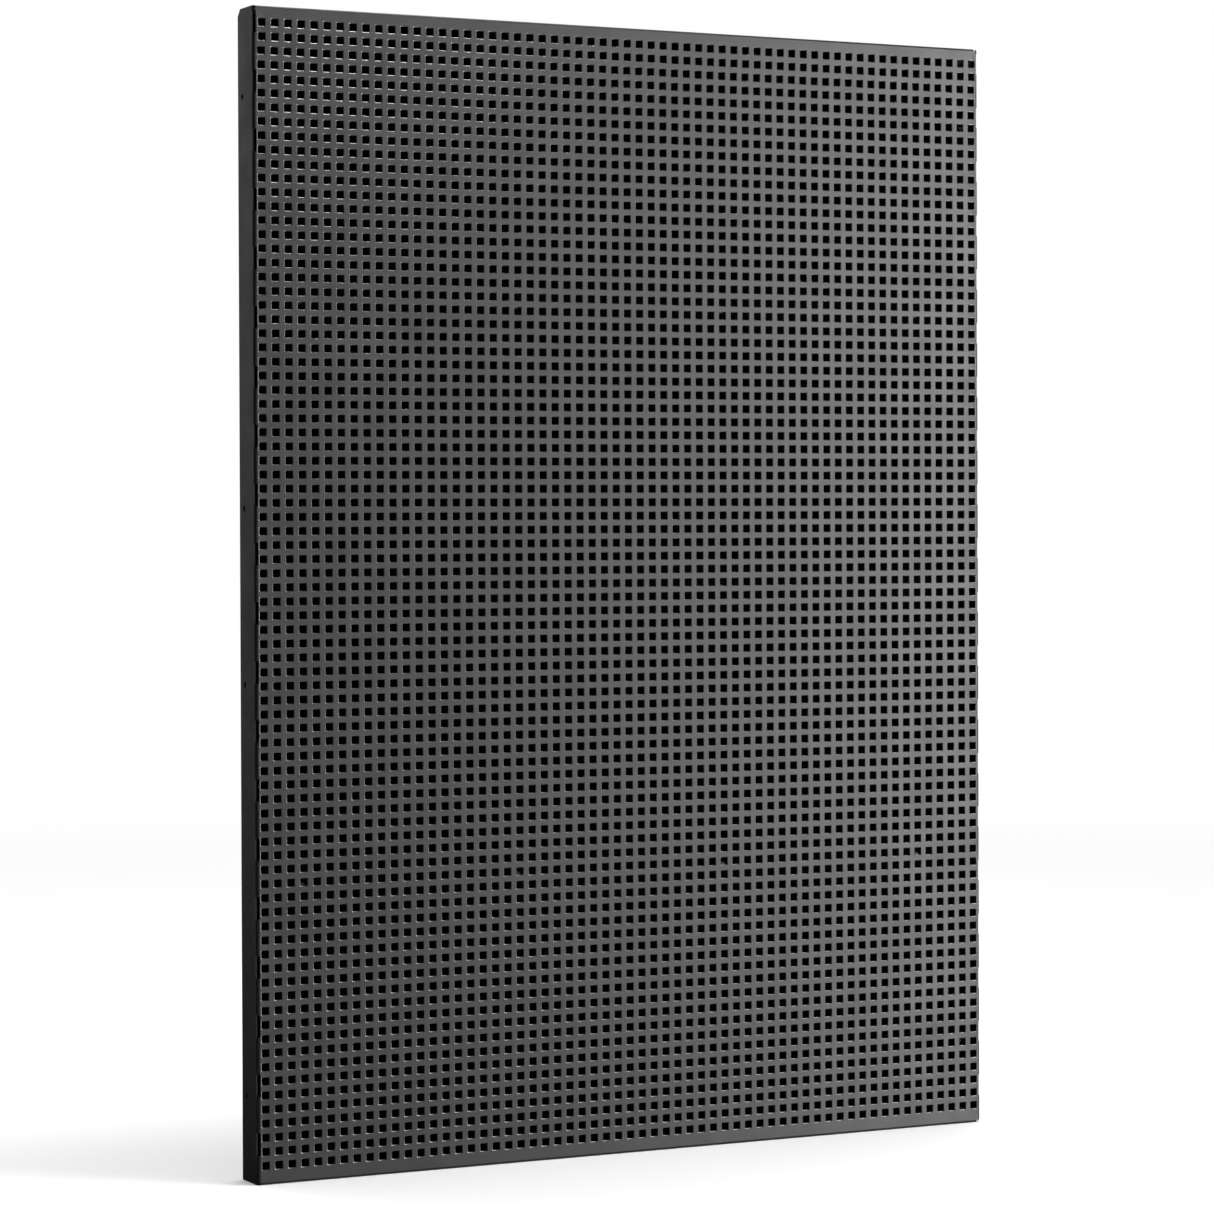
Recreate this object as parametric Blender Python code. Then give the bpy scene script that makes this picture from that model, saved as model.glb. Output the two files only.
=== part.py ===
"""Perforated steel back panel of a gondola shelving bay, built as the pieces it comes apart into.

The front skin is one folded sheet: a face with a flange on all four sides, and bracket slots cut
through both upright folds. A shallow folded cover closes it behind. Three channels riveted to the
cover hold the skin off it, and weld nuts behind the flange holes take the screws of the uprights.

Metres, +Z up. The face looks along -Y, the width runs along X, and the origin is the middle of
the bottom edge. The face's square perforation, on HOLE_PITCH both ways, is left out of these
solids: the skin's face is plain.
"""
import math

import bmesh
import bpy
from mathutils import Matrix, Vector

MM = 0.001

# Driving dimensions of the panel
PANEL_WIDTH = 720 * MM
PANEL_HEIGHT = 998 * MM
PANEL_DEPTH = 35 * MM
SKIN_THICKNESS = 1.2 * MM
UPRIGHT_FOLD_RADIUS = 2.4 * MM
LEVEL_FOLD_RADIUS = 1.8 * MM
FOLD_RELIEF = 1.6 * MM
FOLD_STEPS = 4

# The perforation that the channels' legs stand clear of
HOLE_PITCH = 11.95 * MM
FIRST_ROW_BELOW_TOP = 14.0 * MM

# Bracket slots through the upright folds
SLOT_PITCH = 50 * MM
SLOT_COUNT = 20
SLOT_HEIGHT = 19 * MM
SLOT_ON_FACE = 3.0 * MM
SLOT_ON_FLANGE = 2.6 * MM
FIRST_SLOT_BELOW_TOP = 13.6 * MM

# Screw holes in the side flanges
SCREW_LEVELS_BELOW_TOP = (75 * MM, 425 * MM, 575 * MM, 925 * MM)
SCREW_FROM_REAR_EDGE = 10 * MM
SKIN_HOLE_RADIUS = 2.5 * MM
COVER_HOLE_RADIUS = 2.75 * MM
CORNER_CUT_DEPTH = 5.5 * MM
CORNER_CUT_HEIGHT = 6.0 * MM

# Rounded corners of the face on its right side, as (width, height)
TOP_ROUNDING = (4.0 * MM, 4.0 * MM)
BOTTOM_ROUNDING = (4.5 * MM, 8.0 * MM)
ROUNDING_STEPS = 6

# Rear cover, nested inside the flanges
GAP = 0.3 * MM
COVER_THICKNESS = 0.8 * MM
COVER_FOLD_RADIUS = 1.6 * MM
COVER_FLANGE = 16 * MM
COVER_RECESS = 1.3 * MM
COVER_FLANGE_SETBACK = 8 * MM

# Channels between the cover and the skin, at these hole rows counted from the top
CHANNEL_ROWS = {"upper": 19.5, "middle": 40.5, "lower": 61.5}
CHANNEL_LENGTH = 690 * MM
CHANNEL_THICKNESS = 1.0 * MM
CHANNEL_FOLD_RADIUS = 2.0 * MM
CHANNEL_PITCHES = 4

# Blind rivets through the cover and a channel's web
RIVET_SPACING = 205 * MM
RIVETS_PER_CHANNEL = 4
RIVET_HEAD_RADIUS = 4.0 * MM
RIVET_HEAD_HEIGHT = 0.9 * MM
RIVET_RIM_HEIGHT = 0.3 * MM
RIVET_SHANK_RADIUS = 1.9 * MM
RIVET_HOLE_RADIUS = 2.2 * MM
RIVET_BULB_RADIUS = 3.0 * MM
RIVET_BULB_LENGTH = 4.0 * MM
RIVET_SIDES = 16

# M5 hexagon weld nuts
NUT_ACROSS_FLATS = 9.0 * MM
NUT_HEIGHT = 4.0 * MM
NUT_BORE_RADIUS = 2.1 * MM

BORE_SIDES = 24
SMOOTH_ANGLE = math.radians(35)
CUTTER_OVERRUN = 5 * MM

# Places worked out from the dimensions
HALF_WIDTH = PANEL_WIDTH / 2
FACE_Y = -PANEL_DEPTH / 2
REAR_Y = PANEL_DEPTH / 2
COVER_HALF_WIDTH = HALF_WIDTH - SKIN_THICKNESS - GAP
COVER_HEIGHT = PANEL_HEIGHT - 2 * (SKIN_THICKNESS + GAP)
COVER_REAR_Y = REAR_Y - COVER_RECESS
COVER_INNER_Y = COVER_REAR_Y - COVER_THICKNESS
CHANNEL_REAR_Y = COVER_INNER_Y - GAP
CHANNEL_FRONT_Y = FACE_Y + SKIN_THICKNESS + GAP
SCREW_Y = REAR_Y - SCREW_FROM_REAR_EDGE


def clear_scene():
    for obj in list(bpy.data.objects):
        bpy.data.objects.remove(obj, do_unlink=True)


def coated_steel(name, colour, roughness):
    """Powder-coated steel."""
    return principled(name, colour, roughness, 0.0)


def principled(name, colour, roughness, metallic):
    material = bpy.data.materials.new(name)
    material.use_nodes = True
    shader = material.node_tree.nodes["Principled BSDF"]
    shader.inputs["Base Color"].default_value = (*colour, 1.0)
    shader.inputs["Roughness"].default_value = roughness
    shader.inputs["Metallic"].default_value = metallic
    return material


def skin_black():
    return coated_steel("skin_black", (0.030, 0.030, 0.032), 0.42)


def cover_black():
    return coated_steel("cover_black", (0.022, 0.022, 0.024), 0.50)


def channel_black():
    return coated_steel("channel_black", (0.022, 0.022, 0.024), 0.55)


def nut_black():
    return coated_steel("nut_black", (0.026, 0.026, 0.028), 0.45)


def rivet_black():
    return principled("rivet_black", (0.035, 0.035, 0.037), 0.35, 0.6)


def make_object(name, bm, material):
    """Turn a closed bmesh into a named object with flat faces flat and round faces smooth."""
    bmesh.ops.recalc_face_normals(bm, faces=bm.faces)
    mesh = bpy.data.meshes.new(name)
    bm.to_mesh(mesh)
    bm.free()
    mesh.materials.append(material)
    mesh.shade_smooth()
    mesh.set_sharp_from_angle(angle=SMOOTH_ANGLE)
    obj = bpy.data.objects.new(name, mesh)
    bpy.context.scene.collection.objects.link(obj)
    return obj


def cut(target, cutters):
    """Cut each cutter out of the target with a Boolean that stays on it."""
    for cutter in cutters:
        cutter.hide_render = True
        cutter.display_type = "WIRE"
        boolean = target.modifiers.new(cutter.name, "BOOLEAN")
        boolean.operation = "DIFFERENCE"
        boolean.solver = "EXACT"
        boolean.object = cutter


def cylinder_cutter(name, radius, length, centre, axis):
    """A round cutter of the given length, centred on a point and lying along X or Y."""
    lay = {"X": Matrix.Rotation(math.pi / 2, 4, "Y"), "Y": Matrix.Rotation(math.pi / 2, 4, "X")}
    half_side = Matrix.Rotation(math.pi / BORE_SIDES, 4, "Z")
    bm = bmesh.new()
    bmesh.ops.create_cone(bm, cap_ends=True, segments=BORE_SIDES, radius1=radius, radius2=radius,
                          depth=length, matrix=Matrix.Translation(centre) @ lay[axis] @ half_side)
    return make_object(name, bm, None)


def extrude_polygon(bm, corners, offset):
    """Add the closed solid swept by a flat polygon moved along an offset."""
    start = [bm.verts.new(corner) for corner in corners]
    end = [bm.verts.new(Vector(corner) + offset) for corner in corners]
    bm.faces.new(start)
    bm.faces.new(end[::-1])
    for k, vert in enumerate(start):
        after = (k + 1) % len(start)
        bm.faces.new((vert, start[after], end[after], end[k]))


def fold_stations(half_span, flange, radius, marks):
    """Stations across a sheet folded up at both ends, from one flange's edge to the other's.

    Each station is (place, rise, sine, cosine): the place across the face, how far the sheet's
    outer side has left the face's plane, and its outward normal. marks are further distances
    from the fold's outer side, along the face if positive or along the flange if negative.
    """
    half = [(half_span, flange, 1.0, 0.0)]
    for mark in sorted(m for m in marks if m < 0):
        half.append((half_span, -mark, 1.0, 0.0))
    for step in range(FOLD_STEPS + 1):
        turn = math.pi / 2 * (1 - step / FOLD_STEPS)
        centre = half_span - radius
        half.append((centre + radius * math.sin(turn), radius * (1 - math.cos(turn)),
                     math.sin(turn), math.cos(turn)))
    for mark in sorted(m for m in marks if m > 0):
        half.append((half_span - mark, 0.0, 0.0, 1.0))
    low = [(-place, rise, -sine, cosine) for place, rise, sine, cosine in half]
    return low, half[::-1]


def folded_tray(half_width, height, flange, thickness, side_radius, level_radius, levels,
                side_reach, slot_edges=(), slot_marks=()):
    """A sheet folded back on all four sides, as one closed bmesh, with its face at y = 0.

    The side folds run past the level folds, with a relief between them. levels are further
    heights where rows of the sheet begin, and side_reach is the height range of the side
    flanges. slot_edges are the (low, high) heights of slots through the side folds, and
    slot_marks how far they reach from the fold's outer sides, along the face and the flange.
    """
    relief_mark = side_radius + FOLD_RELIEF
    slot_on_face, slot_on_flange = slot_marks or (0.0, 0.0)
    marks = [relief_mark] + ([slot_on_face, -slot_on_flange] if slot_marks else [])
    low, high = fold_stations(half_width, flange, side_radius, marks)
    columns = low + high
    low, high = fold_stations(height / 2, flange, level_radius, [])
    base = [(place + height / 2, rise, sine, cosine) for place, rise, sine, cosine in low]
    top = [(place + height / 2, rise, sine, cosine) for place, rise, sine, cosine in high]
    rows = base + [(level, 0.0, 0.0, 1.0) for level in sorted(levels)] + top

    def position(i, j, depth):
        x, column_rise, column_sine, column_cosine = columns[i]
        z, row_rise, row_sine, row_cosine = rows[j]
        if abs(x) > half_width - relief_mark + MM / 10:
            z = 0.0 if j < len(base) - 1 else height if j > len(rows) - len(top) else z
            normal = Vector((column_sine, -column_cosine, 0.0))
            return Vector((x, column_rise, z)) - normal * depth
        normal = Vector((0.0, -row_cosine, row_sine))
        return Vector((x, row_rise, z)) - normal * depth

    def present(i, j):
        middle = abs(columns[i][0] + columns[i + 1][0]) / 2
        low_z, high_z = rows[j][0], rows[j + 1][0]
        on_face = len(base) - 1 <= j < len(rows) - len(top)
        centre_z = (low_z + high_z) / 2
        rise = (columns[i][1] + columns[i + 1][1]) / 2
        in_slot = any(edge_low < centre_z < edge_high for edge_low, edge_high in slot_edges)
        if middle < half_width - relief_mark:
            return True
        if in_slot and middle > half_width - slot_on_face and rise < slot_on_flange:
            return False
        if middle < half_width - side_radius:
            return on_face
        if not on_face and j not in (len(base) - 2, len(rows) - len(top)):
            return False
        return side_reach[0] < centre_z < side_reach[1]

    return thick_sheet(len(columns), len(rows), position, present, thickness)


def thick_sheet(columns, rows, position, present, thickness):
    """Close a grid of sheet cells: an outer and an inner side, and walls where the sheet ends."""
    bm = bmesh.new()
    made = {}

    def vert(i, j, depth):
        if (i, j, depth) not in made:
            made[i, j, depth] = bm.verts.new(position(i, j, depth))
        return made[i, j, depth]

    cells = {(i, j) for i in range(columns - 1) for j in range(rows - 1) if present(i, j)}
    for i, j in cells:
        corners = ((i, j), (i + 1, j), (i + 1, j + 1), (i, j + 1))
        neighbours = ((i, j - 1), (i + 1, j), (i, j + 1), (i - 1, j))
        bm.faces.new([vert(*corner, 0.0) for corner in corners])
        bm.faces.new([vert(*corner, thickness) for corner in reversed(corners)])
        for k, neighbour in enumerate(neighbours):
            if neighbour not in cells:
                first, second = corners[k], corners[(k + 1) % 4]
                bm.faces.new((vert(*first, 0.0), vert(*first, thickness),
                              vert(*second, thickness), vert(*second, 0.0)))
    return bm


def screw_heights():
    return [PANEL_HEIGHT - below for below in SCREW_LEVELS_BELOW_TOP]


def screw_cutters(piece, radius):
    """Round cutters along X, each through both side flanges at one screw level."""
    length = PANEL_WIDTH + 2 * CUTTER_OVERRUN
    return [cylinder_cutter(f"{piece}_screw_cutter_{k}", radius, length, (0, SCREW_Y, z), "X")
            for k, z in enumerate(screw_heights(), 1)]


def corner_cutter(side):
    """A prism that takes the rear top corner off one side flange."""
    rear, top = REAR_Y, PANEL_HEIGHT
    over = CUTTER_OVERRUN
    slope = CORNER_CUT_HEIGHT / CORNER_CUT_DEPTH
    start = side * (HALF_WIDTH + over)
    corners = [(start, rear + over, top - CORNER_CUT_HEIGHT - over * slope),
               (start, rear + over, top + over),
               (start, rear - CORNER_CUT_DEPTH - over / slope, top + over)]
    bm = bmesh.new()
    extrude_polygon(bm, corners, Vector((-side * (over + SKIN_THICKNESS + GAP / 2), 0, 0)))
    name = "corner_cutter_right" if side > 0 else "corner_cutter_left"
    return make_object(name, bm, None)


def rounding_cutter(name, edge_z, inward, size):
    """A prism along Y that rounds one right-hand corner of the skin; inward is -1 at the top."""
    width, height = size
    centre_x = HALF_WIDTH - width
    centre_z = edge_z + inward * height
    far_x = HALF_WIDTH + CUTTER_OVERRUN
    far_z = edge_z - inward * CUTTER_OVERRUN
    start_y = FACE_Y - CUTTER_OVERRUN
    arc = []
    for step in range(ROUNDING_STEPS + 1):
        turn = math.pi / 2 * step / ROUNDING_STEPS
        arc.append((centre_x + width * math.sin(turn), start_y,
                    centre_z - inward * height * math.cos(turn)))
    corners = arc + [(far_x, start_y, centre_z), (far_x, start_y, far_z),
                     (centre_x, start_y, far_z)]
    bm = bmesh.new()
    extrude_polygon(bm, corners, Vector((0, PANEL_DEPTH + 2 * CUTTER_OVERRUN, 0)))
    return make_object(name, bm, None)


def front_skin():
    """The folded front sheet, with its bracket slots, screw holes and cut-off rear corners."""
    slots = []
    for n in range(SLOT_COUNT):
        centre = PANEL_HEIGHT - FIRST_SLOT_BELOW_TOP - n * SLOT_PITCH
        slots.append((centre - SLOT_HEIGHT / 2, centre + SLOT_HEIGHT / 2))
    levels = [edge for slot in slots for edge in slot]
    bm = folded_tray(HALF_WIDTH, PANEL_HEIGHT, PANEL_DEPTH, SKIN_THICKNESS, UPRIGHT_FOLD_RADIUS,
                     LEVEL_FOLD_RADIUS, levels, (0, PANEL_HEIGHT), slots,
                     (SLOT_ON_FACE, SLOT_ON_FLANGE))
    bmesh.ops.translate(bm, vec=(0, FACE_Y, 0), verts=bm.verts)
    skin = make_object("front_skin", bm, skin_black())
    cutters = screw_cutters("skin", SKIN_HOLE_RADIUS)
    cutters += [corner_cutter(1), corner_cutter(-1)]
    cutters.append(rounding_cutter("top_rounding_cutter", PANEL_HEIGHT, -1, TOP_ROUNDING))
    cutters.append(rounding_cutter("bottom_rounding_cutter", 0, 1, BOTTOM_ROUNDING))
    cut(skin, cutters)
    return skin


def rivet_places():
    """The (channel name, number, x, z) of each rivet."""
    first = -RIVET_SPACING * (RIVETS_PER_CHANNEL - 1) / 2
    return [(name, k + 1, first + k * RIVET_SPACING, channel_height(row))
            for name, row in CHANNEL_ROWS.items() for k in range(RIVETS_PER_CHANNEL)]


def channel_height(row):
    return PANEL_HEIGHT - FIRST_ROW_BELOW_TOP - row * HOLE_PITCH


def rivet_cutter(piece, name, number, x, z):
    length = COVER_THICKNESS + CHANNEL_THICKNESS + 2 * CUTTER_OVERRUN
    centre = (x, CHANNEL_REAR_Y, z)
    return cylinder_cutter(f"{piece}_rivet_cutter_{name}_{number}", RIVET_HOLE_RADIUS, length,
                           centre, "Y")


def rear_cover():
    """The shallow cover, folded forward inside the skin's flanges."""
    side_reach = (COVER_FLANGE_SETBACK, COVER_HEIGHT - COVER_FLANGE_SETBACK)
    bm = folded_tray(COVER_HALF_WIDTH, COVER_HEIGHT, COVER_FLANGE, COVER_THICKNESS,
                     COVER_FOLD_RADIUS, COVER_FOLD_RADIUS, side_reach, side_reach)
    base = SKIN_THICKNESS + GAP
    placing = Matrix.Translation((0, COVER_REAR_Y, base)) @ Matrix.Rotation(math.pi, 4, "Z")
    bmesh.ops.transform(bm, matrix=placing, verts=bm.verts)
    cover = make_object("rear_cover", bm, cover_black())
    rivet_cutters = [rivet_cutter("cover", *place) for place in rivet_places()]
    cut(cover, screw_cutters("cover", COVER_HOLE_RADIUS) + rivet_cutters)
    return cover


def channel(name, row, material):
    """A channel whose web lies on the cover and whose legs end behind webs of the perforation."""
    half = (CHANNEL_PITCHES * HOLE_PITCH + CHANNEL_THICKNESS) / 2
    low, high = fold_stations(half, CHANNEL_REAR_Y - CHANNEL_FRONT_Y, CHANNEL_FOLD_RADIUS, [])
    stations = low + high
    z_middle = channel_height(row)

    def point(station, depth):
        place, rise, sine, cosine = station
        return (-CHANNEL_LENGTH / 2, CHANNEL_REAR_Y - rise - cosine * depth,
                z_middle + place - sine * depth)

    outer = [point(station, 0.0) for station in stations]
    inner = [point(station, CHANNEL_THICKNESS) for station in reversed(stations)]
    bm = bmesh.new()
    extrude_polygon(bm, outer + inner, Vector((CHANNEL_LENGTH, 0, 0)))
    obj = make_object(f"stiffener_channel_{name}", bm, material)
    cut(obj, [rivet_cutter("channel", *place) for place in rivet_places() if place[0] == name])
    return obj


def rivet(name, x, z, material):
    """A set blind rivet: a domed head behind the cover and a bulb in front of the channel."""
    head = COVER_REAR_Y + GAP
    web_front = CHANNEL_REAR_Y - CHANNEL_THICKNESS - GAP
    bulb_end = web_front - RIVET_BULB_LENGTH
    profile = [(0, head + RIVET_HEAD_HEIGHT),
               (RIVET_HEAD_RADIUS * 0.6, head + RIVET_HEAD_HEIGHT * 0.85),
               (RIVET_HEAD_RADIUS, head + RIVET_RIM_HEIGHT),
               (RIVET_HEAD_RADIUS, head),
               (RIVET_SHANK_RADIUS, head),
               (RIVET_SHANK_RADIUS, web_front),
               (RIVET_BULB_RADIUS, web_front - RIVET_BULB_LENGTH * 0.2),
               (RIVET_BULB_RADIUS, web_front - RIVET_BULB_LENGTH * 0.7),
               (RIVET_SHANK_RADIUS, bulb_end),
               (0, bulb_end)]
    bm = bmesh.new()
    edge_points = [bm.verts.new((radius, y, 0)) for radius, y in profile]
    edges = [bm.edges.new(pair) for pair in zip(edge_points, edge_points[1:])]
    bmesh.ops.spin(bm, geom=edge_points + edges, cent=(0, 0, 0), axis=(0, 1, 0),
                   angle=2 * math.pi, steps=RIVET_SIDES, use_merge=True)
    bmesh.ops.remove_doubles(bm, verts=bm.verts, dist=MM / 1000)
    obj = make_object(name, bm, material)
    obj.location = (x, 0, z)
    return obj


def weld_nut(name, side, z, material):
    """A hexagon weld nut on the inner side of the cover's flange, with its bore along X."""
    corner_radius = NUT_ACROSS_FLATS / math.sqrt(3)
    start = side * (COVER_HALF_WIDTH - COVER_THICKNESS - GAP)
    corners = [(start, SCREW_Y + corner_radius * math.sin(math.radians(60 * k)),
                z + corner_radius * math.cos(math.radians(60 * k))) for k in range(6)]
    bm = bmesh.new()
    extrude_polygon(bm, corners, Vector((-side * NUT_HEIGHT, 0, 0)))
    nut = make_object(name, bm, material)
    centre = (start - side * NUT_HEIGHT / 2, SCREW_Y, z)
    cut(nut, [cylinder_cutter(f"{name}_cutter", NUT_BORE_RADIUS, NUT_HEIGHT + 2 * CUTTER_OVERRUN,
                              centre, "X")])
    return nut


def build_panel():
    clear_scene()
    front_skin()
    rear_cover()
    channel_material = channel_black()
    for name, row in CHANNEL_ROWS.items():
        channel(name, row, channel_material)
    rivet_material = rivet_black()
    for name, number, x, z in rivet_places():
        rivet(f"cover_rivet_{name}_{number}", x, z, rivet_material)
    nut_material = nut_black()
    for side, side_name in ((-1, "left"), (1, "right")):
        for number, z in enumerate(screw_heights(), 1):
            weld_nut(f"weld_nut_{side_name}_{number}", side, z, nut_material)


build_panel()
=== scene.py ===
"""Looks of a black perforated gondola back panel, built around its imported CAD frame.

The front skin is rebuilt with its whole field of square punched holes; every other CAD part keeps
its shape and gets a procedural powder coat. Metres, in the frame's axes: the face looks along -Y.
"""
import math

import bmesh
import bpy
from mathutils import Matrix, Vector


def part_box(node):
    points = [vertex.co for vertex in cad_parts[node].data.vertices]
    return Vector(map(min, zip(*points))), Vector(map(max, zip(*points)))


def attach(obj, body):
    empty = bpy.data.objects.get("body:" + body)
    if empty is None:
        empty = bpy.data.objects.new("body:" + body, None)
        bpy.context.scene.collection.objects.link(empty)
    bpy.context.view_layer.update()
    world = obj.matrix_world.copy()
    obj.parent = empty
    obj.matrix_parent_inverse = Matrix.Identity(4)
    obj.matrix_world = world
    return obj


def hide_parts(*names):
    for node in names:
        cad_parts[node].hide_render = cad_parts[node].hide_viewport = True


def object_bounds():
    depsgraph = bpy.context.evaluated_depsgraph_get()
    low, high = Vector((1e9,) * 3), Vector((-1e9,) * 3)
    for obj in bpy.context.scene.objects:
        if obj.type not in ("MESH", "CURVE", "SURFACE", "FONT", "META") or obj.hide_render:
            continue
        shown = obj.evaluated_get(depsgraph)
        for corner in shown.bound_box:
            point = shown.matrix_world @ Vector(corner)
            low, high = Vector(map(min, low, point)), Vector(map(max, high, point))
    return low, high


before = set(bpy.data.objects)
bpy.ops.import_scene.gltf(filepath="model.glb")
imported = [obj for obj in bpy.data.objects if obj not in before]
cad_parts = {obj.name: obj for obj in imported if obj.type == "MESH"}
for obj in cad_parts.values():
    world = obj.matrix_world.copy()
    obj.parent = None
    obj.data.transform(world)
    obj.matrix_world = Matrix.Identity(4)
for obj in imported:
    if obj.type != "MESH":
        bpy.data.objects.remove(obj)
cad_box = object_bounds()

MM = 0.001

# The skin's sheet and its perforation
SKIN_THICKNESS = 1.2 * MM
HOLE_COLUMNS = 60
HOLE_ROWS = 82
HOLE_PITCH = 11.95 * MM
HOLE_WIDTH = 6.8 * MM
HOLE_CORNER = 0.7 * MM
LIP_WIDTH = 0.42 * MM
LIP_DEPTH = 0.28 * MM
FIRST_ROW_BELOW_TOP = 14.0 * MM

# The punch's steps: the first rows sit to one side, and later groups of rows wander a little
FIRST_ROWS = 2
FIRST_ROWS_SHIFT = 0.60 * MM
GROUP_ROWS = 4
GROUP_SHIFT = 0.05 * MM

# Where the skin's flat field ends: at the slots' inner edges and at the level folds
SLOT_ON_FACE = 3.0 * MM
LEVEL_FOLD_RADIUS = 1.8 * MM

# The strip of flat sheet kept round the outermost lips
FIELD_RIM = 0.02 * MM

# Mesh work: how near vertices merge, how near a plane counts as on it, the angle from which an
# edge stays sharp, and how squarely a flat face's normal follows an axis
MERGE = 0.002 * MM
ON_PLANE = 0.05 * MM
SMOOTH_ANGLE = math.radians(30)
ALONG_AXIS = 0.99

# The floor is solid near the panel and gone at its rim
FLOOR_SOLID = 1.3
FLOOR_RADIUS = 4.0
FLOOR_SIDES = 96
FLOOR_BELOW = 0.2 * MM

# Sizes of the powder coat's features, in features per metre, and its bump
CLOUD_SCALE = 7.0
SMEAR_SCALE = 16.0
BLOTCH_SCALE = 38.0
PEEL_SCALE = 520.0
GRAIN_SCALE = 900.0
SMEAR_STRETCH = (1.0, 1.0, 0.45)
PEEL_STRENGTH = 0.30
PEEL_HEIGHT = 0.05 * MM
GRAIN_SHARE = 0.25
SMOOTHER, ROUGHER = 0.05, 0.07

# The rivets' drawn marks
MARK_SCALE = 1400.0
MARK_STRENGTH = 0.2
MARK_HEIGHT = 0.02 * MM

# The studio: its dim side, how bright it is on either side, and how the light fades overhead
DIM_SIDE = (-0.95, -0.30, 0.0)
BRIGHT_FROM, DIM_FROM = -0.45, 0.55
DIM_STRENGTH = 0.07
CEILING_FROM, CEILING_TO = 0.35, 0.85
WALL_STRENGTH, CEILING_STRENGTH = 0.85, 0.12

# The camera
CAMERA_PLACE = (-1.52154, -2.99575, 0.56596)
CAMERA_FORWARD = (0.44845, 0.89377, -0.00874)
CAMERA_UP = (0.00716, 0.00618, 0.99996)
SENSOR_WIDTH = 36.0
LENS = 111.7
SHIFT_Y = -0.0482
CLIP_END = 100.0

WHITE = (1.0, 1.0, 1.0, 1.0)
BLACK = (0.0, 0.0, 0.0, 1.0)

# The skin's material slots. The inner slot, on the hole walls and the back of the sheet, is near
# black: painted shade in the holes.
# The fold slot is darker than the face coat: painted shade on the folds.
FACE_COAT, LIP_COAT, INNER_SHADE_COAT, FOLD_SHADE_COAT = range(4)

SKIN_LOW, SKIN_HIGH = (Vector(corner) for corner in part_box("front_skin"))
FACE_Y = SKIN_LOW.y
INNER_Y = FACE_Y + SKIN_THICKNESS
FIELD_X = SKIN_HIGH.x - SLOT_ON_FACE
FIELD_LOW_Z = SKIN_LOW.z + LEVEL_FOLD_RADIUS
FIELD_HIGH_Z = SKIN_HIGH.z - LEVEL_FOLD_RADIUS


# ---------------------------------------------------------------- the perforated skin

def row_shift(row):
    """How far a row of holes sits to the right; row 0 is the top one."""
    if row < FIRST_ROWS:
        return FIRST_ROWS_SHIFT
    to_right = (row - FIRST_ROWS) // GROUP_ROWS % 2
    return GROUP_SHIFT if to_right else -GROUP_SHIFT


def hole_x(column, row):
    return (column - (HOLE_COLUMNS - 1) / 2) * HOLE_PITCH + row_shift(row)


def hole_z(row):
    return SKIN_HIGH.z - FIRST_ROW_BELOW_TOP - row * HOLE_PITCH


def hole_grid(bm, y, half_hole, rim):
    """One side of the perforated field: its sheet between the holes.

    Returns the corners round each hole, (column, row) to four vertices, and the field's outer
    chains of vertices: left, right, bottom and top.
    """
    lines = []
    for row in reversed(range(HOLE_ROWS)):
        for z in (hole_z(row) - half_hole, hole_z(row) + half_hole):
            xs = [hole_x(0, row) - half_hole - rim]
            for column in range(HOLE_COLUMNS):
                centre = hole_x(column, row)
                xs += [centre - half_hole, centre + half_hole]
            xs.append(hole_x(HOLE_COLUMNS - 1, row) + half_hole + rim)
            lines.append([bm.verts.new((x, y, z)) for x in xs])
    holes = {}
    for j, (below, above) in enumerate(zip(lines, lines[1:])):
        for i in range(len(below) - 1):
            corners = (below[i], below[i + 1], above[i + 1], above[i])
            if i % 2 == 1 and j % 2 == 0:
                holes[(i - 1) // 2, HOLE_ROWS - 1 - j // 2] = corners
            else:
                bm.faces.new(corners)
    left = [line[0] for line in lines]
    right = [line[-1] for line in lines]
    return holes, left, right, lines[0], lines[-1]


def lip_ring(bm, column, row):
    """Eight vertices of a hole's clear opening with its corners taken off, below the rolled lip."""
    half = HOLE_WIDTH / 2
    cut = half - HOLE_CORNER
    x, z = hole_x(column, row), hole_z(row)
    y = FACE_Y + LIP_DEPTH
    steps = ((-cut, -half), (cut, -half), (half, -cut), (half, cut),
             (cut, half), (-cut, half), (-half, cut), (-half, -cut))
    return [bm.verts.new((x + dx, y, z + dz)) for dx, dz in steps]


def ring_to_corners(bm, ring, corners, coat):
    """Join an eight-vertex ring to a square: four quads along the sides, four corner triangles."""
    for side in range(4):
        start, end = ring[2 * side], ring[2 * side + 1]
        following = ring[(2 * side + 2) % 8]
        corner, next_corner = corners[side], corners[(side + 1) % 4]
        bm.faces.new((corner, next_corner, end, start)).material_index = coat
        bm.faces.new((next_corner, following, end)).material_index = coat


def zip_chains(bm, first, second, along):
    """Fill the strip between two chains of vertices that run the same way along an axis."""
    i = j = 0
    while i < len(first) - 1 or j < len(second) - 1:
        step_first = j == len(second) - 1 or (
            i < len(first) - 1 and first[i + 1].co[along] <= second[j + 1].co[along])
        if step_first:
            bm.faces.new((first[i], first[i + 1], second[j]))
            i += 1
        else:
            bm.faces.new((first[i], second[j + 1], second[j]))
            j += 1


def open_field(bm):
    """Take the plain field out of both sides of the skin's face."""
    def in_field(vert):
        return (abs(vert.co.x) < FIELD_X + ON_PLANE
                and FIELD_LOW_Z - ON_PLANE < vert.co.z < FIELD_HIGH_Z + ON_PLANE)

    def on_face(face):
        return any(all(abs(v.co.y - y) < ON_PLANE for v in face.verts) for y in (FACE_Y, INNER_Y))

    gone = [f for f in bm.faces if on_face(f) and all(in_field(v) for v in f.verts)]
    bmesh.ops.delete(bm, geom=gone, context="FACES")


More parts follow.
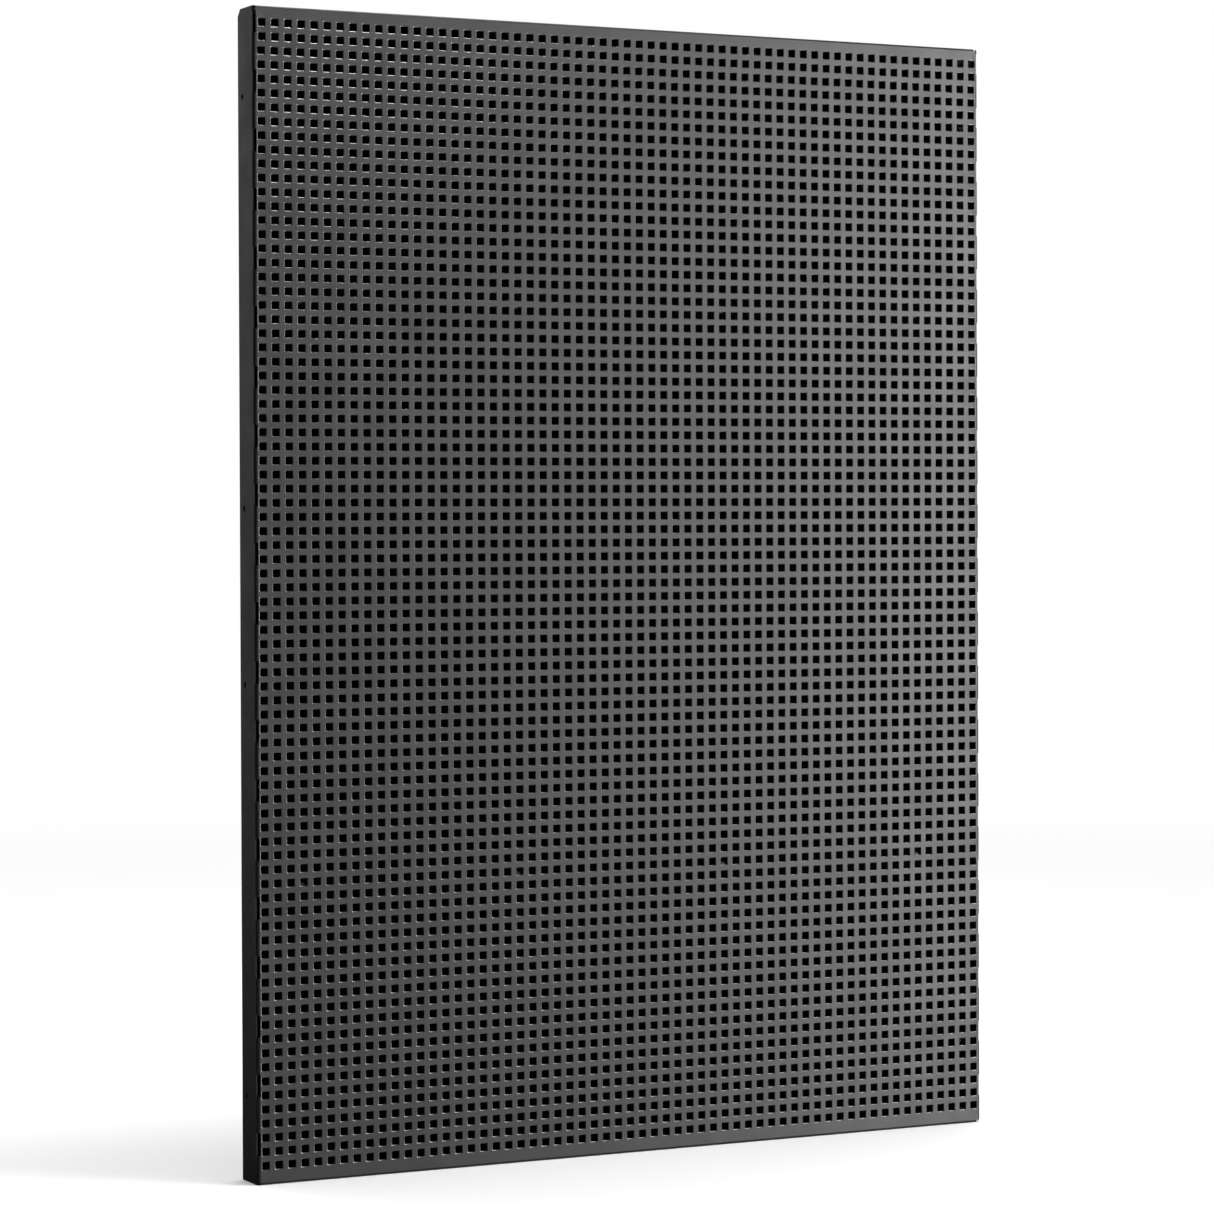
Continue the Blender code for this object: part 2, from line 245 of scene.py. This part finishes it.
def rim_chains(bm, y):
    """The chains of vertices round the opened field on one side of the sheet."""
    edges = [e for e in bm.edges
             if e.is_boundary and all(abs(v.co.y - y) < ON_PLANE for v in e.verts)]
    rim = {v for e in edges for v in e.verts}

    def chain(across, place, along):
        on_line = (v for v in rim if abs(v.co[across] - place) < ON_PLANE)
        return sorted(on_line, key=lambda v: v.co[along])

    left, right = chain(0, -FIELD_X, 2), chain(0, FIELD_X, 2)
    low, high = chain(2, FIELD_LOW_Z, 0), chain(2, FIELD_HIGH_Z, 0)
    left = [low[0], *left, high[0]]
    right = [low[-1], *right, high[-1]]
    return left, right, low, high


def perforated_skin(coats):
    """The folded skin of the frame with the whole field of punched holes in its face."""
    bm = bmesh.new()
    bm.from_mesh(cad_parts["front_skin"].data)
    bmesh.ops.remove_doubles(bm, verts=bm.verts, dist=MERGE)
    open_field(bm)
    rims = {y: rim_chains(bm, y) for y in (FACE_Y, INNER_Y)}
    half = HOLE_WIDTH / 2
    sides = {}
    for y, half_hole in ((FACE_Y, half + LIP_WIDTH), (INNER_Y, half)):
        rim = half + LIP_WIDTH - half_hole + FIELD_RIM
        sides[y], *chains = hole_grid(bm, y, half_hole, rim)
        for rim_chain, chain, along in zip(rims[y], chains, (2, 2, 0, 0)):
            zip_chains(bm, rim_chain, chain, along)
    # The lips take the lip coat; the hole walls below them take the near-black inner coat, which is
    # painted shade
    for place, corners in sides[FACE_Y].items():
        ring = lip_ring(bm, *place)
        ring_to_corners(bm, ring, corners, LIP_COAT)
        ring_to_corners(bm, ring, sides[INNER_Y][place], INNER_SHADE_COAT)
    # The back of the sheet takes the near-black inner coat: painted shade
    for face in bm.faces:
        if all(abs(v.co.y - INNER_Y) < ON_PLANE for v in face.verts):
            face.material_index = INNER_SHADE_COAT
    bmesh.ops.recalc_face_normals(bm, faces=bm.faces)
    # Faces of the folds and rounded corners take the darker fold coat: painted shade
    for face in bm.faces:
        if face.material_index == FACE_COAT and max(abs(part) for part in face.normal) < ALONG_AXIS:
            face.material_index = FOLD_SHADE_COAT
    return mesh_piece("perforated_front_skin", bm, coats)


def mesh_object(name, bm, materials):
    mesh = bpy.data.meshes.new(name)
    bm.to_mesh(mesh)
    bm.free()
    for material in materials:
        mesh.materials.append(material)
    made = bpy.data.objects.new(name, mesh)
    bpy.context.scene.collection.objects.link(made)
    return made


def mesh_piece(name, bm, materials):
    piece = mesh_object(name, bm, materials)
    piece.data.shade_smooth()
    piece.data.set_sharp_from_angle(angle=SMOOTH_ANGLE)
    weighted = piece.modifiers.new("weighted_normals", "WEIGHTED_NORMAL")
    weighted.keep_sharp = True
    return piece


# ---------------------------------------------------------------- materials

def node(tree, kind, inputs=(), **settings):
    made = tree.nodes.new(kind)
    for name, value in settings.items():
        setattr(made, name, value)
    for name, value in dict(inputs).items():
        if isinstance(value, bpy.types.NodeSocket):
            tree.links.new(value, made.inputs[name])
        else:
            made.inputs[name].default_value = value
    return made


def new_material(name):
    """A material with its tree and its Principled shader."""
    material = bpy.data.materials.new(name)
    material.use_nodes = True
    tree = material.node_tree
    return material, tree, tree.nodes["Principled BSDF"]


def noise(tree, where, scale, detail=3.0, roughness=0.5):
    made = node(tree, "ShaderNodeTexNoise",
                {"Vector": where, "Scale": scale, "Detail": detail, "Roughness": roughness})
    return made.outputs["Fac"]


def spread(tree, value, low, high, to_low, to_high):
    """Map a value's range to another, held at both ends."""
    made = node(tree, "ShaderNodeMapRange", {"Value": value, "From Min": low, "From Max": high,
                                             "To Min": to_low, "To Max": to_high})
    return made.outputs["Result"]


def ease(tree, value, low, high, to_low, to_high):
    """As spread, with soft ends."""
    eased = spread(tree, value, low, high, to_low, to_high)
    eased.node.interpolation_type = "SMOOTHSTEP"
    return eased


def dot(tree, vector, axis):
    made = node(tree, "ShaderNodeVectorMath", {0: vector, 1: axis}, operation="DOT_PRODUCT")
    return made.outputs["Value"]


def mix(tree, share, first, second):
    made = node(tree, "ShaderNodeMix", data_type="RGBA")
    for socket, value in ((0, share), (6, first), (7, second)):
        if isinstance(value, bpy.types.NodeSocket):
            tree.links.new(value, made.inputs[socket])
        else:
            made.inputs[socket].default_value = value
    return made.outputs[2]


def powder_coat(name, colour, light_colour, dust_colour, roughness, dust_share, specular=0.5):
    """Black powder coat: orange peel, faint cloudiness, and a little dust rubbed into smears."""
    material, tree, shader = new_material(name)
    where = node(tree, "ShaderNodeTexCoord").outputs["Object"]
    cloud = noise(tree, where, CLOUD_SCALE, 4.0)
    grain = noise(tree, where, GRAIN_SCALE, 2.0)
    smear_where = node(tree, "ShaderNodeMapping", {"Vector": where, "Scale": SMEAR_STRETCH})
    smear = noise(tree, smear_where.outputs["Vector"], SMEAR_SCALE, 6.0, 0.65)
    dust = spread(tree, smear, 0.58, 0.78, 0.0, dust_share)
    coat = mix(tree, spread(tree, cloud, 0.3, 0.7, 0.0, 1.0), colour, light_colour)
    coat = mix(tree, spread(tree, grain, 0.35, 0.65, 0.0, GRAIN_SHARE), coat, light_colour)
    tree.links.new(mix(tree, dust, coat, dust_colour), shader.inputs["Base Color"])
    blotch = noise(tree, where, BLOTCH_SCALE, 4.0)
    rough = spread(tree, blotch, 0.3, 0.7, roughness - SMOOTHER, roughness + ROUGHER)
    tree.links.new(rough, shader.inputs["Roughness"])
    peel = noise(tree, where, PEEL_SCALE, 2.0)
    bump = node(tree, "ShaderNodeBump",
                {"Height": peel, "Strength": PEEL_STRENGTH, "Distance": PEEL_HEIGHT})
    tree.links.new(bump.outputs["Normal"], shader.inputs["Normal"])
    shader.inputs["Specular IOR Level"].default_value = specular
    return material


def anodised(name):
    """Blackened aluminium of the rivets, with fine drawn marks."""
    material, tree, shader = new_material(name)
    where = node(tree, "ShaderNodeTexCoord").outputs["Object"]
    marks = noise(tree, where, MARK_SCALE)
    colour = mix(tree, spread(tree, marks, 0.3, 0.7, 0.0, 1.0), (0.060, 0.060, 0.063, 1.0),
                 (0.110, 0.110, 0.115, 1.0))
    tree.links.new(colour, shader.inputs["Base Color"])
    tree.links.new(spread(tree, marks, 0.3, 0.7, 0.28, 0.42), shader.inputs["Roughness"])
    bump = node(tree, "ShaderNodeBump",
                {"Height": marks, "Strength": MARK_STRENGTH, "Distance": MARK_HEIGHT})
    tree.links.new(bump.outputs["Normal"], shader.inputs["Normal"])
    shader.inputs["Metallic"].default_value = 0.6
    return material


def plain_floor(name):
    """A pale floor that fades out into the white of the studio away from the panel."""
    material, tree, shader = new_material(name)
    where = node(tree, "ShaderNodeTexCoord").outputs["Object"]
    tone = mix(tree, noise(tree, where, 3.0), (0.86, 0.86, 0.86, 1.0), (0.90, 0.90, 0.90, 1.0))
    tree.links.new(tone, shader.inputs["Base Color"])
    shader.inputs["Roughness"].default_value = 0.9
    away = node(tree, "ShaderNodeVectorMath", {0: where}, operation="LENGTH").outputs["Value"]
    gone = ease(tree, away, FLOOR_SOLID, FLOOR_RADIUS, 0.0, 1.0)
    clear = node(tree, "ShaderNodeBsdfTransparent").outputs["BSDF"]
    faded = node(tree, "ShaderNodeMixShader", {0: gone, 1: shader.outputs["BSDF"], 2: clear})
    tree.links.new(faded.outputs["Shader"], tree.nodes["Material Output"].inputs["Surface"])
    return material


def graded_card(name, low, high, glow):
    """A card that is black at one height and glows softly at another."""
    material, tree, shader = new_material(name)
    shader.inputs["Base Color"].default_value = BLACK
    shader.inputs["Roughness"].default_value = 1.0
    shader.inputs["Specular IOR Level"].default_value = 0.0
    shader.inputs["Emission Color"].default_value = WHITE
    where = node(tree, "ShaderNodeTexCoord").outputs["Object"]
    height = node(tree, "ShaderNodeSeparateXYZ", {"Vector": where}).outputs["Z"]
    tree.links.new(spread(tree, height, low, high, 0.0, glow), shader.inputs["Emission Strength"])
    return material


# ---------------------------------------------------------------- stage, light and camera

def floor_disc():
    bm = bmesh.new()
    bmesh.ops.create_circle(bm, cap_ends=True, segments=FLOOR_SIDES, radius=FLOOR_RADIUS)
    floor = staged("floor", bm, plain_floor("floor_pale"))
    floor.location.z = cad_box[0].z - FLOOR_BELOW
    floor.visible_glossy = floor.visible_shadow = False
    return floor


def staged(name, bm, material):
    made = mesh_object(name, bm, [material])
    return made


def card(name, foot, along, width, height, material):
    """An upright card that only reflections see."""
    half = Vector(along).normalized() * (width / 2)
    foot, up = Vector(foot), Vector((0.0, 0.0, height))
    bm = bmesh.new()
    corners = [foot - half, foot + half, foot + half + up, foot - half + up]
    bm.faces.new([bm.verts.new(corner) for corner in corners])
    made = staged(name, bm, material)
    made.visible_camera = made.visible_diffuse = made.visible_shadow = False


def softbox(name, place, target, size, power):
    light = bpy.data.lights.new(name, "AREA")
    light.shape = "RECTANGLE"
    light.size, light.size_y = size
    light.energy = power
    lamp = bpy.data.objects.new(name, light)
    bpy.context.scene.collection.objects.link(lamp)
    lamp.location = place
    lamp.rotation_mode = "QUATERNION"
    lamp.rotation_quaternion = (Vector(target) - Vector(place)).to_track_quat("-Z", "Y")
    lamp.visible_camera = False
    return lamp


def light_only(lamp, things):
    """Keep a lamp's light to some objects."""
    receivers = bpy.data.collections.new(lamp.name + "_receivers")
    for thing in things:
        receivers.objects.link(thing)
    lamp.light_linking.receiver_collection = receivers


def studio(floor, panel):
    """A white studio that is dim on its left and overhead, with four softboxes and a card."""
    world = bpy.data.worlds.new("studio")
    bpy.context.scene.world = world
    world.use_nodes = True
    tree = world.node_tree
    way = node(tree, "ShaderNodeTexCoord").outputs["Generated"]
    side = ease(tree, dot(tree, way, DIM_SIDE), BRIGHT_FROM, DIM_FROM, 1.0, DIM_STRENGTH)
    height = node(tree, "ShaderNodeSeparateXYZ", {"Vector": way}).outputs["Z"]
    ceiling = ease(tree, height, CEILING_FROM, CEILING_TO, WALL_STRENGTH, CEILING_STRENGTH)
    lit = node(tree, "ShaderNodeMath", {0: side, 1: ceiling}, operation="MULTIPLY").outputs["Value"]
    seen = node(tree, "ShaderNodeLightPath").outputs["Is Camera Ray"]
    strength = node(tree, "ShaderNodeMix", {0: seen, 2: lit, 3: 1.0}).outputs[0]
    background = tree.nodes["Background"]
    background.inputs["Color"].default_value = WHITE
    tree.links.new(strength, background.inputs["Strength"])
    softbox("overhead", (0.28, -0.40, 2.1), (-0.25, 0.0, 0.9), (0.5, 0.4), 23)
    light_only(softbox("right_front", (1.93, -1.74, 0.6), (0.1, 0.0, 0.5), (1.0, 2.4), 81), panel)
    light_only(softbox("right_rim", (2.2, 0.15, 0.6), (0.0, 0.1, 0.5), (0.9, 2.0), 16), panel)
    floor_light = softbox("floor_light", (0.3, 0.8, 4.0), (0.3, 0.801, 0.0), (6.0, 6.0), 260)
    light_only(floor_light, [floor])
    card("left_card", (-0.90, 1.07, -0.8), (0.894, 0.448, 0.0), 1.6, 2.3,
         graded_card("card_grey", -0.2, 1.1, 0.43))
    bpy.context.scene.view_settings.view_transform = "Standard"


def camera():
    data = bpy.data.cameras.new("camera")
    data.sensor_width = SENSOR_WIDTH
    data.lens = LENS
    data.shift_y = SHIFT_Y
    data.clip_end = CLIP_END
    cam = bpy.data.objects.new("camera", data)
    bpy.context.scene.collection.objects.link(cam)
    forward = Vector(CAMERA_FORWARD)
    up = Vector(CAMERA_UP)
    right = forward.cross(up).normalized()
    up = right.cross(forward)
    turn = Matrix((right, up, -forward)).transposed()
    cam.matrix_world = Matrix.Translation(CAMERA_PLACE) @ turn.to_4x4()
    bpy.context.scene.camera = cam


# ---------------------------------------------------------------- the panel

def dress_cad_parts():
    """Give the CAD parts that stay their materials; the stiffener's near-black coat and the cover's
    inner side are painted shade.
    """
    cover = powder_coat("cover_coat", (0.020, 0.020, 0.021, 1), (0.027, 0.027, 0.028, 1),
                        (0.055, 0.054, 0.052, 1), 0.46, 0.20)
    # Painted shade on the cover's inner side
    painted_shade_inside(cover)
    # The stiffener is near black with almost no specular, far darker than the other coats: painted
    # shade inside the panel
    shaded_channel = powder_coat("channel_painted_shade", (0.001, 0.001, 0.001, 1), (0.002, 0.002, 0.002, 1),
                          (0.003, 0.003, 0.003, 1), 0.70, 0.15, 0.02)
    nut = powder_coat("nut_coat", (0.022, 0.022, 0.023, 1), (0.030, 0.030, 0.031, 1),
                      (0.045, 0.045, 0.043, 1), 0.42, 0.10)
    rivet = anodised("rivet_black")
    finishes = {"rear_cover": cover, "stiffener": shaded_channel, "weld_nut": nut, "cover_rivet": rivet}
    for name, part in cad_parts.items():
        for start, material in finishes.items():
            if name.startswith(start):
                part.data.materials.clear()
                part.data.materials.append(material)


def painted_shade_inside(material):
    """The cover's inner side, which looks forward into the panel, is painted near black with no
    specular: painted shade inside the panel, seen through the holes.
    """
    tree = material.node_tree
    shader = tree.nodes["Principled BSDF"]
    facing = node(tree, "ShaderNodeTexCoord").outputs["Normal"]
    inside = spread(tree, dot(tree, facing, (0.0, -1.0, 0.0)), 0.3, 0.7, 0.0, 1.0)
    coat = shader.inputs["Base Color"].links[0].from_socket
    tree.links.new(mix(tree, inside, coat, (0.001, 0.001, 0.001, 1)), shader.inputs["Base Color"])
    tree.links.new(spread(tree, inside, 0.0, 1.0, 0.45, 0.0), shader.inputs["Specular IOR Level"])


def build():
    camera()
    coats = (
        powder_coat("skin_coat", (0.012, 0.012, 0.0125, 1), (0.016, 0.016, 0.0165, 1),
                    (0.060, 0.059, 0.057, 1), 0.40, 0.22),
        powder_coat("lip_coat", (0.016, 0.016, 0.0165, 1), (0.024, 0.024, 0.0245, 1),
                    (0.050, 0.050, 0.048, 1), 0.22, 0.20, 1.0),
        # Near black with little specular: painted shade on the hole walls and the back of the sheet
        powder_coat("inner_painted_shade", (0.002, 0.002, 0.002, 1), (0.003, 0.003, 0.003, 1),
                    (0.004, 0.004, 0.004, 1), 0.60, 0.20, 0.06),
        # Darker than the face coat, with weak specular: painted shade on the folds
        powder_coat("fold_painted_shade", (0.006, 0.006, 0.0065, 1), (0.009, 0.009, 0.0095, 1),
                    (0.020, 0.020, 0.019, 1), 0.48, 0.20, 0.15))
    skin = perforated_skin(coats)
    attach(skin, "root")
    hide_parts("front_skin")
    dress_cad_parts()
    studio(floor_disc(), [skin, *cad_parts.values()])


build()
